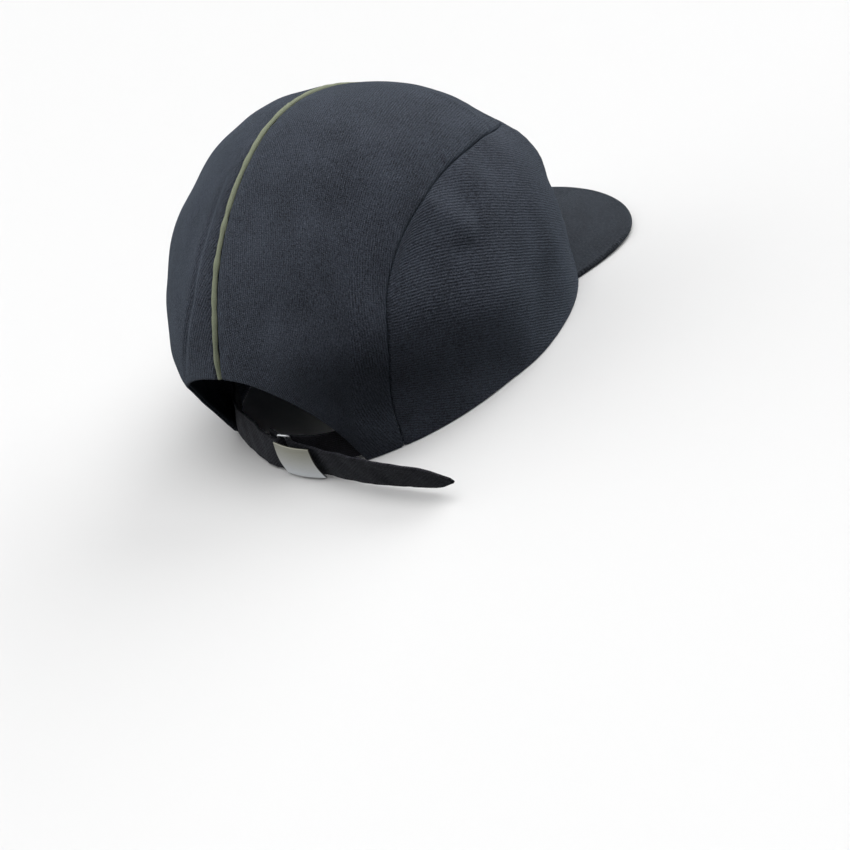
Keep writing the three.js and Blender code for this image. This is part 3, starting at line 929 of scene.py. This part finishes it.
def build_peak():
    """The covered peak, with a rounded rim and a pressed line inside it."""
    t = np.linspace(0, 1, PEAK_STEPS_ACROSS + 1)
    root = rim_point(np.abs(1 - 2 * t) * (PEAK_CORNER - PEAK_CORNER_GAP), np.where(t < 0.5, -1, 1))[:, :2]
    root = root * (1 - PEAK_TUCK / CROWN_HALF_LENGTH)
    edge = peak_edge(t)
    outward = 1 - (1 - np.linspace(0, 1, PEAK_STEPS_ALONG + 1)) ** PEAK_CROWDING
    xy = root[:, None] + (edge - root)[:, None] * outward[None, :, None]
    arch = PEAK_ROOT_RISE + (PEAK_FRONT_RISE - PEAK_ROOT_RISE) * outward
    rise = arch[None] * np.sin(np.pi * t)[:, None]
    to_edge = np.linalg.norm(edge[:, None] - xy, axis=-1)
    corner_gap = np.minimum(t, 1 - t)[:, None] * PEAK_CORNER_ROUNDING
    drop = rounded(np.minimum(to_edge, corner_gap + 0.3), PEAK_CLOTH / 2)
    flat = np.concatenate([xy, np.zeros_like(xy[..., :1])], -1)
    slow = 0.12 * soft_noise(flat, 34.0, 51) * np.clip(to_edge / 8, 0, 1)
    crease = PEAK_CREASE_DEPTH * line_at(to_edge, PEAK_CREASE_AT, STITCH_WIDTH)
    top_z = PEAK_THICKNESS + rise + slow - drop - crease
    low_z = PEAK_THICKNESS - PEAK_CLOTH + rise + drop
    outer = np.concatenate([xy, top_z[..., None]], -1)
    inner = np.concatenate([xy, low_z[..., None]], -1)
    piece = wall_mesh("peak", outer, inner, turned(xy[..., 0], xy[..., 1], PEAK_GRAIN))
    finish_piece(piece, PEAK_SHADED_TWILL, "peak")


build_peak()


# Strap closure

STRAP_THICKNESS = 1.4
STRAP_LOW = 1.6
STRAP_HIGH = 17.4
BAR_RADIUS = 0.6
BAR_GAP = 0.3
LOOP_RADIUS = BAR_RADIUS + BAR_GAP + STRAP_THICKNESS / 2
# Where the two upright bars of the buckle's frame stand
SHORT_BAR = (-3.6, 95.0)
LONG_BAR = (-10.2, 95.0)
SHORT_STRAP = (
    # x, y, lean of the upper edge, share of the full width
    (61.0, 57.5, -4.0, 1.0),
    (56.0, 64.6, -5.5, 1.0),
    (52.0, 69.4, -6.5, 1.0),
    (48.0, 74.0, -6.2, 1.0),
    (42.0, 78.7, -5.0, 1.0),
    (35.0, 82.5, -4.0, 1.0),
    (27.0, 86.6, -4.0, 1.0),
    (19.0, 90.5, -4.2, 1.0),
    (9.0, 94.6, -2.5, 1.0),
)
SHORT_STRAP_END = (5.4, 92.2, -2.0, 1.0)
LONG_STRAP_INSIDE = (
    (-50.0, 71.0, 3.5, 1.0),
    (-37.0, 81.0, 4.0, 1.0),
    (-28.0, 86.6, 3.6, 1.0),
    (-21.0, 90.6, 2.0, 1.0),
    (-15.0, 92.6, 0.5, 1.0),
)
LONG_STRAP_TAIL = (
    (-15.0, 96.6, 0.8, 1.0),
    (-29.0, 98.2, 2.3, 1.0),
    (-45.0, 99.9, 2.6, 0.98),
    (-62.0, 100.4, 4.2, 0.95),
    (-78.0, 100.2, 5.2, 0.86),
    (-89.0, 99.8, 6.0, 0.7),
    (-98.0, 99.5, 6.4, 0.2),
)


def loop_rows(bar, first, last):
    """Rows of a strap's path half round a bar, as it turns between two angles."""
    turns = np.radians(np.linspace(first, last, 10))
    return [(bar[0] + LOOP_RADIUS * math.cos(a), bar[1] + LOOP_RADIUS * math.sin(a), 0.0, 1.0) for a in turns]


STRAP_SIDES = 72
STRAP_FINE_STEPS = 2400
STRAP_FLATNESS = 0.16
STRAP_EDGE_ROUNDNESS = 0.55
STRAP_CREASE_AT = 0.36
STRAP_CREASE_DEPTH = 0.16
STRAP_STITCHES_AT = 0.86
STRAP_STITCH_DEPTH = 0.14
STRAP_GRAIN = 35


def signed_power(value, power):
    return np.sign(value) * np.abs(value) ** power


def evenly(rows, steps):
    """Rows spaced evenly along the smooth path through the given ones."""
    fine = smooth_line(rows, STRAP_FINE_STEPS)(np.linspace(0, 1, STRAP_FINE_STEPS))
    length = running(fine[:, :2], 0)
    even = np.linspace(0, length[-1], steps)
    return np.stack([np.interp(even, length, fine[:, k]) for k in range(fine.shape[1])], -1)


def strap(name, rows, seed, steps):
    """A folded strip of cloth that stands on edge: a flat tube with rounded edges and a pressed crease."""
    at = evenly(rows, steps)
    plan = np.concatenate([at[:, :2], np.zeros((steps, 1))], -1)
    along = unit(np.gradient(plan, axis=0))
    across = np.stack([-along[:, 1], along[:, 0], np.zeros(steps)], -1)
    a = np.linspace(0, 2 * np.pi, STRAP_SIDES, endpoint=False)
    lift = signed_power(np.sin(a), STRAP_EDGE_ROUNDNESS)
    thick = signed_power(np.cos(a), STRAP_FLATNESS)
    raised = at[:, 3:4] * lift
    z = (STRAP_LOW + STRAP_HIGH) / 2 + (STRAP_HIGH - STRAP_LOW) / 2 * raised
    shift = at[:, 2:3] * (0.5 + 0.5 * raised)
    points = plan[:, None] + across[:, None] * (STRAP_THICKNESS / 2 * thick)[None, :, None]
    points = points + np.stack([np.zeros_like(z), shift, z], -1)
    ripple = 0.16 * soft_noise(points, 12.0, seed) + 0.05 * soft_noise(points, 4.0, seed + 1)
    pressed = STRAP_CREASE_DEPTH * line_at(lift, STRAP_CREASE_AT, 0.05)
    pressed = pressed + STRAP_STITCH_DEPTH * line_at(np.abs(lift), STRAP_STITCHES_AT, 0.05)
    points = points + across[:, None] * (ripple - (pressed * thick)[None])[..., None]
    length = np.broadcast_to(running(plan, 0)[:, None], z.shape)
    piece = tube_mesh(name, points, turned(length, z, STRAP_GRAIN))
    finish_piece(piece, STRAP_TWILL, name)


strap("strap_left", [*SHORT_STRAP, *loop_rows(SHORT_BAR, 90, 270), SHORT_STRAP_END], 61, 340)
strap("strap_right", [*LONG_STRAP_INSIDE, *loop_rows(LONG_BAR, -90, 90), *LONG_STRAP_TAIL], 67, 500)

# The plate's lower corners: x, y and how far back the upper one leans
PLATE_RIGHT = (-27.0, 99.0, 2.6)
PLATE_LEFT = (-4.2, 98.2, 0.4)
PLATE_THICKNESS = 0.8
PLATE_BOW = 1.1
PLATE_BULGE = 1.2
PLATE_ROUNDING = 0.32
PLATE_SQUEEZE = 0.85


def build_plate():
    t = eased(90, PLATE_SQUEEZE)
    c = eased(70, PLATE_SQUEEZE)
    x, foot, lean = (first + (last - first) * t for first, last in zip(PLATE_RIGHT, PLATE_LEFT))
    foot = foot + PLATE_BOW * np.sin(np.pi * t)
    z = PLATE_LOW + (PLATE_HIGH - PLATE_LOW) * c
    y = foot[:, None] + lean[:, None] * c[None] + PLATE_BULGE * np.sin(np.pi * c)[None]
    width, height = PLATE_LEFT[0] - PLATE_RIGHT[0], PLATE_HIGH - PLATE_LOW
    to_edge = np.minimum(np.minimum(t, 1 - t)[:, None] * width, np.minimum(c, 1 - c)[None] * height)
    drop = rounded(to_edge, PLATE_ROUNDING)
    x, z = np.broadcast_arrays(x[:, None], z[None])
    outer = np.stack([x, y + PLATE_THICKNESS - drop, z], -1)
    inner = np.stack([x, y + drop * 0.6, z], -1)
    piece = wall_mesh("buckle_plate", outer, inner, np.stack([x, z], -1))
    finish_piece(piece, SATIN_STEEL, "buckle_plate")


FRAME_BEND = 1.0
FRAME_STEPS = 160
FRAME_SIDES = 14


def frame_line():
    """The closed middle line of the buckle's frame: a ring of four bars with rounded corners."""
    low, high = STRAP_LOW - BAR_RADIUS - BAR_GAP, STRAP_HIGH + BAR_RADIUS + BAR_GAP
    left, right = SHORT_BAR[0] - FRAME_BEND, LONG_BAR[0] + FRAME_BEND
    corners = (
        # middle of the bend, angle where it starts
        (left, low + FRAME_BEND, 360),
        (right, low + FRAME_BEND, 270),
        (right, high - FRAME_BEND, 180),
        (left, high - FRAME_BEND, 90),
    )
    line = []
    for x, z, start in corners:
        for a in np.radians(np.linspace(start, start - 90, 8)):
            line.append((x + FRAME_BEND * math.cos(a), SHORT_BAR[1], z + FRAME_BEND * math.sin(a)))
    line = np.array(line + line[:1])
    length = running(line, 0)
    even = np.linspace(0, length[-1], FRAME_STEPS, endpoint=False)
    return even, np.stack([np.interp(even, length, line[:, k]) for k in range(3)], -1)


def build_frame():
    """The wire ring that both straps are looped on."""
    length, line = frame_line()
    along = unit(np.roll(line, -1, 0) - np.roll(line, 1, 0))
    up = np.array([0.0, 1.0, 0.0])
    beside = np.cross(along, up)[:, None]
    a = np.linspace(0, 2 * np.pi, FRAME_SIDES, endpoint=False)
    rings = line[:, None] + BAR_RADIUS * (beside * np.cos(a)[None, :, None] + up * np.sin(a)[None, :, None])
    index = np.arange(FRAME_STEPS * FRAME_SIDES).reshape(FRAME_STEPS, FRAME_SIDES)
    nxt, ahead = np.roll(index, -1, 1), np.roll(index, -1, 0)
    faces = np.stack([index, ahead, np.roll(ahead, -1, 1), nxt], -1).reshape(-1, 4)
    points = rings.reshape(-1, 3)
    if signed_volume(points, faces) < 0:
        faces = faces[:, ::-1]
    weave = np.stack(np.broadcast_arrays(length[:, None], a[None]), -1)
    piece = build_mesh("buckle_frame", points, faces.tolist(), weave)
    finish_piece(piece, SATIN_STEEL, "buckle_frame")


build_plate()
build_frame()


# Floor, light and camera


def stage_object(name, corners, faces, material):
    """A still object round the cap that throws no light back on it."""
    mesh = bpy.data.meshes.new(name)
    mesh.from_pydata(corners, [], faces)
    mesh.materials.append(material)
    made = add_object(name, mesh)
    made.visible_diffuse = False
    made.visible_glossy = False
    return made


FLOOR_REACH = 30.0
FLOOR_TONE = 0.735


def build_floor():
    material, _, shader = new_material("pale_floor")
    shader.inputs["Base Color"].default_value = (FLOOR_TONE, FLOOR_TONE, FLOOR_TONE, 1)
    shader.inputs["Roughness"].default_value = 0.9
    shader.inputs["Specular IOR Level"].default_value = 0.1
    corners = [(x * FLOOR_REACH, y * FLOOR_REACH, 0) for x, y in ((-1, -1), (1, -1), (1, 1), (-1, 1))]
    stage_object("floor", corners, [(0, 1, 2, 3)], material)


WALL_REACH = 12.0
WALL_TALL = 14.0
WALL_SIDES = 48
WALL_GLOW = 0.975


def build_backdrop():
    """A pale wall round the studio, which only the camera sees."""
    material, _, shader = new_material("pale_wall")
    shader.inputs["Base Color"].default_value = (0, 0, 0, 1)
    shader.inputs["Emission Color"].default_value = (1, 1, 1, 1)
    shader.inputs["Emission Strength"].default_value = WALL_GLOW
    turns = np.arange(WALL_SIDES) * 2 * np.pi / WALL_SIDES
    corners = [
        (WALL_REACH * math.cos(turn), WALL_REACH * math.sin(turn), z)
        for z in (0.0, WALL_TALL)
        for turn in turns
    ]
    faces = []
    for k in range(WALL_SIDES):
        beside = (k + 1) % WALL_SIDES
        faces.append((k, beside, beside + WALL_SIDES, k + WALL_SIDES))
    wall = stage_object("backdrop", corners, faces, material)
    wall.visible_shadow = False


CAMERA_AT = np.array([-408.5, 405.2, 281.2])
CAMERA_AZIMUTH = 225.89
CAMERA_ELEVATION = 29.46
CAMERA_ROLL = -22.78
CAMERA_LENS = 57.18


def camera_axes():
    az, el, roll = (math.radians(v) for v in (CAMERA_AZIMUTH, CAMERA_ELEVATION, CAMERA_ROLL))
    back = np.array([math.sin(az) * math.cos(el), -math.cos(az) * math.cos(el), math.sin(el)])
    right = np.array([math.cos(az), math.sin(az), 0.0])
    up = np.cross(back, right)
    return (
        math.cos(roll) * right + math.sin(roll) * up,
        -math.sin(roll) * right + math.cos(roll) * up,
        back,
    )


def build_camera():
    data = bpy.data.cameras.new("camera")
    data.sensor_width = 36.0
    data.lens = CAMERA_LENS
    data.clip_end = 100.0
    camera = add_object("camera", data)
    at = place(CAMERA_AT)
    rows = [[*axes, at[k]] for k, axes in enumerate(zip(*camera_axes()))]
    camera.matrix_world = Matrix([*rows, [0, 0, 0, 1]])
    bpy.context.scene.camera = camera


LAMPS = (
    # name, where it shines from, strength
    ("upper_left", (0.62, 0.01, 0.78), 0.85),
    ("upper_right", (-0.32, -0.86, 0.40), 2.2),
    ("upper_near", (-0.38, 0.05, 0.92), 2.5),
    ("left", (0.78, 0.53, 0.34), 0.7),
)
LAMP_ANGLE = 60
SKY_COLOUR = (0.97, 0.985, 1.0, 1)
SKY_FROM = (0.72, 0.39, -0.57)
SKY_EDGE = 0.3
SKY_DIM = 0.03
SKY_BRIGHT = 0.6


def build_lamp(name, direction, strength):
    data = bpy.data.lights.new(name, "SUN")
    data.energy = strength
    data.angle = math.radians(LAMP_ANGLE)
    sun = add_object(name, data)
    sun.rotation_mode = "QUATERNION"
    sun.rotation_quaternion = Vector(direction).to_track_quat("Z", "Y")


def build_light():
    """Four broad lamps, in a dim studio that glows low on the left."""
    world = bpy.data.worlds.new("studio")
    world.use_nodes = True
    tree = world.node_tree
    background = tree.nodes["Background"]
    background.inputs[0].default_value = SKY_COLOUR
    direction = tree.nodes.new("ShaderNodeTexCoord").outputs["Generated"]
    facing = tree.nodes.new("ShaderNodeVectorMath")
    facing.operation = "DOT_PRODUCT"
    tree.links.new(direction, facing.inputs[0])
    facing.inputs[1].default_value = SKY_FROM
    levels = {"From_Min": SKY_EDGE, "From_Max": 1.0, "To_Min": SKY_DIM, "To_Max": SKY_BRIGHT}
    settings = {"interpolation_type": "SMOOTHSTEP"}
    shade = add(tree, "MapRange", settings, Value=facing.outputs["Value"], **levels)
    tree.links.new(shade, background.inputs[1])
    bpy.context.scene.world = world
    for lamp in LAMPS:
        build_lamp(*lamp)


build_floor()
build_backdrop()
build_light()
build_camera()
bpy.context.scene.view_settings.view_transform = "Standard"
